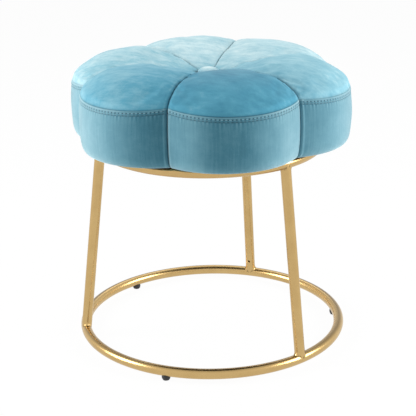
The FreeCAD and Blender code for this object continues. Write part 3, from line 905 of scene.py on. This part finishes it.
def splayedLeg(name, azimuth):
    # A circle carried up a straight line. It widens into a weld fillet by its distance from each ring's
    # surface, and sinks into a round hole on its inner side, painted dark inside as painted shade.
    v = leg
    outwards = np.array((math.cos(azimuth), math.sin(azimuth), 0))
    foot = baseRing["radius"] * outwards + (0, 0, baseRing["level"])
    head = seatRing["radius"] * outwards + (0, 0, seatRing["level"])
    length = np.linalg.norm(head - foot)
    up = (head - foot) / length
    sideways = np.cross(up, outwards)
    sideways = sideways / np.linalg.norm(sideways)
    outwards = np.cross(sideways, up)
    (endLength, endRows), (ventLength, ventRows) = v["endRows"], v["ventRows"]
    fromFoot, fromHead, middleRows = v["middleRows"]
    atEnd = endLength * np.linspace(0, 1, endRows) ** v["endCloser"] - v["pastEnd"]
    atVent = np.linspace(v["ventAlong"] - ventLength / 2, v["ventAlong"] + ventLength / 2, ventRows)
    between = np.linspace(fromFoot, length - fromHead, middleRows)
    along = np.unique(np.concatenate([atEnd, length - atEnd, atVent, between]))[:, None]
    fromEnd = np.minimum(along, length - along)
    even = np.arange(v["columns"]) / v["columns"] * 2 - 1
    around = math.pi * ((1 - v["closer"]) * even + v["closer"] * even ** 3) + math.pi
    fromRing = np.hypot(tubeRadius * np.cos(around), fromEnd) - tubeRadius
    amount, count, phase = v["beads"]
    corner = np.sin(around) ** 2 * (1 + amount * np.sin(count * around + phase))
    fillet = fading(np.clip(fromRing, 0, None), *v["weldSwell"]) * corner
    fromVent = np.hypot(along - v["ventAlong"], tubeRadius * (around - math.pi))
    hole = 1 / (1 + np.exp((fromVent - v["ventRadius"]) / v["ventEdge"]))
    radius = tubeRadius + fillet - v["ventDepth"] * hole - fading(np.clip(fromEnd, 0, None), *v["endRound"])
    aside = (radius * np.cos(around))[..., None] * outwards + (radius * np.sin(around))[..., None] * sideways
    spots = sum(amount * np.sin(count * around + phase) for amount, count, phase in v["spots"])
    # painted shade inside the vent hole, and darker spots along each weld
    fields = {"dark": np.maximum(hole, band(fromRing, *v["weldSpots"]) * np.clip(spots, 0, 1))}
    piece = surface(name + "Tube", foot + along[..., None] * up + aside, poles=True, fields=fields)
    return dress(piece, goldPlate, "frame_tube", name)


tubeRing("base_ring", baseRing)
tubeRing("seat_ring", seatRing)
for legName, legAzimuth in legAzimuths.items():
    splayedLeg(legName, legAzimuth)
print("frame tubes made")


# Glides

glide = {
    "rows": 22,
    "columns": 64,
    "radius": 0.0066,
    "rise": 0.0022,          # how far its top goes up into the tube
    "foot": 0.76,            # share of its radius where it stands on the floor
    "rounding": 2.1,         # the higher, the sooner it reaches its full radius
    "collar": 0.0003,
    "collarPlace": 0.62,
    "collarReach": 0.05,
}


def glides():
    # A low dome turned about its own axis, with a small moulded collar, its top pressed into the tube.
    g = glide
    angle = circle(g["columns"])
    step = np.linspace(0, 1, g["rows"])[:, None]
    swell = np.sin(np.minimum(step * g["rounding"], 1) * math.pi / 2)
    out = g["radius"] * (g["foot"] + (1 - g["foot"]) * swell)
    out = out + g["collar"] * bump((step - g["collarPlace"]) / g["collarReach"])
    grid = stacked(out * np.cos(angle), out * np.sin(angle), (levels("base_ring")[0] + g["rise"]) * step)
    for number, azimuth in enumerate(glideAzimuths, start=1):
        centre = baseRing["radius"] * np.array((math.cos(azimuth), math.sin(azimuth), 0))
        piece = surface(f"glide{number}", grid + centre, poles=True)
        dress(piece, glidePlastic, "glide_plastic", *(["glides"] if number == 1 else []))


glides()
print("glides made")


# Dust cover and hardware

cover = {
    "columns": 60,           # per petal
    "rows": 40,
    "innermost": 0.04,       # share of the outline where the rows start
    "inset": 0.0135,         # of its edge from the rim seam
    "skin": 0.0004,          # how much thinner than its solid the sheet is on each side
    "sag": 0.0006,
    "waves": 0.0003,
    "waveSize": 0.05,
    "ringClear": 0.03,       # the sag starts this far inside the seat ring, and grows over the next length
    "sagFade": 0.05,
}


def dustCover():
    # The flower's outline filled with rings of points, sagging a little inside the seat ring.
    c = cover
    petal, across = petalColumns(c["columns"])
    rim = flower["rim"] - c["inset"]
    edge = aboutPetal(petal, rim, shareEnd(rim) * across, 0)[:, :2]
    step = np.linspace(c["innermost"], 1, c["rows"])[:, None]
    x, y = step * edge[:, 0], step * edge[:, 1]
    inRing = np.clip((seatRing["radius"] - c["ringClear"] - np.hypot(x, y)) / c["sagFade"], 0, 1)
    sag = inRing * (c["sag"] + c["waves"] * gentleWaves(x, y, c["waveSize"], seed=5))
    under = stacked(x, y, coverBottom + c["skin"] - sag)
    over = stacked(x, y, coverTop - c["skin"])[::-1]
    piece = surface("dustCover", np.concatenate([under, over]), poles=True)
    return dress(piece, coverCloth, "cover_cloth", "dust_cover")


dustCover()
nodeLooks = {
    "mounting_tab_1": goldPlate, "mounting_tab_2": goldPlate, "mounting_tab_3": goldPlate,
    "mount_bolts": fastenerSteel, "mount_nuts": fastenerSteel, "dust_cover_staples": fastenerSteel,
    "seat_board": boardPlywood, "tuft_twine": tuftTwine, "twine_toggle": glidePlastic,
}
for nodeName, look in nodeLooks.items():
    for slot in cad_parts[nodeName].material_slots:
        slot.material = look
print("dust cover and hardware dressed")


# Floor, lamps and camera

studio = {
    "floorColour": (0.95, 0.95, 0.95, 1),
    "floorGlow": 0.96,       # how much of the floor the camera sees as plain white
    "floorReach": 12,
    "worldStrength": 0.45,
    "lens": 105.52,
    "cameraPlace": (0.6281, -1.7352, 0.8478),
    "yaw": -20.03,
    "pitch": 19.227,
    "roll": -0.8657,
}
lamps = {
    "leftLamp": {"place": (-1.42, -0.76, 0.95), "target": (0, 0, 0.3), "size": 1.0, "power": 24},
    "rightLamp": {"place": (1.60, 0.26, 0.95), "target": (0, 0, 0.3), "size": 1.0, "power": 24},
    "backLamp": {"place": (-0.5, 1.5, 1.6), "target": (0, 0, 0.4), "size": 1.1, "power": 6},
}
white = (1, 1, 1, 1)


def seenPlainly(tree):
    # 1 for camera, glossy and transmission rays
    path = nodeIn(tree, "LightPath").outputs
    both = sums(tree, "MAXIMUM", path["Is Camera Ray"], path["Is Glossy Ray"])
    return sums(tree, "MAXIMUM", both, path["Is Transmission Ray"])


def whiteFloor(tree, place):
    # mostly plain white where it is seen, with a share of its real shading that keeps the stool's shadow
    plain = nodeIn(tree, "BsdfDiffuse", Color=studio["floorColour"])
    glow = nodeIn(tree, "Emission", Color=white, Strength=1.0)
    share = sums(tree, "MULTIPLY", seenPlainly(tree), studio["floorGlow"])
    return nodeIn(tree, "MixShader", n0=share, n1=plain.outputs[0], n2=glow.outputs[0])


def whiteWorld():
    # Full white where it is seen plainly, and weaker as a light on the stool.
    world = bpy.data.worlds.new("studio")
    world.use_nodes = True
    tree = world.node_tree
    tree.nodes.clear()
    strength = nodeIn(tree, "MapRange", Value=seenPlainly(tree), To_Min=studio["worldStrength"], To_Max=1.0)
    background = nodeIn(tree, "Background", Color=white, Strength=strength.outputs[0])
    nodeIn(tree, "OutputWorld", Surface=background.outputs[0])
    bpy.context.scene.world = world


def areaLamp(name, place, target, size, power):
    # A round lamp that faces its target.
    lamp = bpy.data.lights.new(name, "AREA")
    lamp.shape, lamp.size, lamp.energy = "DISK", size, power
    holder = bpy.data.objects.new(name, lamp)
    holder.location = place
    holder.rotation_mode = "QUATERNION"
    holder.rotation_quaternion = (Vector(target) - Vector(place)).to_track_quat("-Z", "Y")
    bpy.context.scene.collection.objects.link(holder)


def stage():
    # The floor is one square at height 0, under a white world and the lamps.
    r = studio["floorReach"]
    mesh = bpy.data.meshes.new("floor")
    mesh.from_pydata([(-r, -r, 0), (r, -r, 0), (r, r, 0), (-r, r, 0)], [], [(0, 1, 2, 3)])
    mesh.materials.append(material("whiteFloor", whiteFloor))
    floor = bpy.data.objects.new("floor", mesh)
    bpy.context.scene.collection.objects.link(floor)
    whiteWorld()
    for name, lamp in lamps.items():
        areaLamp(name, **lamp)


def camera():
    # Yaw turns it about the vertical, pitch tips it down and roll turns it about the line of sight.
    yaw, pitch, roll = (math.radians(studio[key]) for key in ("yaw", "pitch", "roll"))
    ahead = Vector((math.sin(yaw) * math.cos(pitch), math.cos(yaw) * math.cos(pitch), -math.sin(pitch)))
    right = Vector((math.cos(yaw), -math.sin(yaw), 0))
    up = right.cross(ahead)
    rolledRight = math.cos(roll) * right + math.sin(roll) * up
    rolledUp = math.cos(roll) * up - math.sin(roll) * right
    axes = Matrix((rolledRight, rolledUp, -ahead)).transposed()
    data = bpy.data.cameras.new("camera")
    data.sensor_width, data.lens = 36, studio["lens"]
    holder = bpy.data.objects.new("camera", data)
    bpy.context.scene.collection.objects.link(holder)
    holder.matrix_world = Matrix.Translation(studio["cameraPlace"]) @ axes.to_4x4()
    bpy.context.scene.camera = holder


stage()
camera()
bpy.context.scene.view_settings.view_transform = "Standard"
print("floor, lamps and camera made")
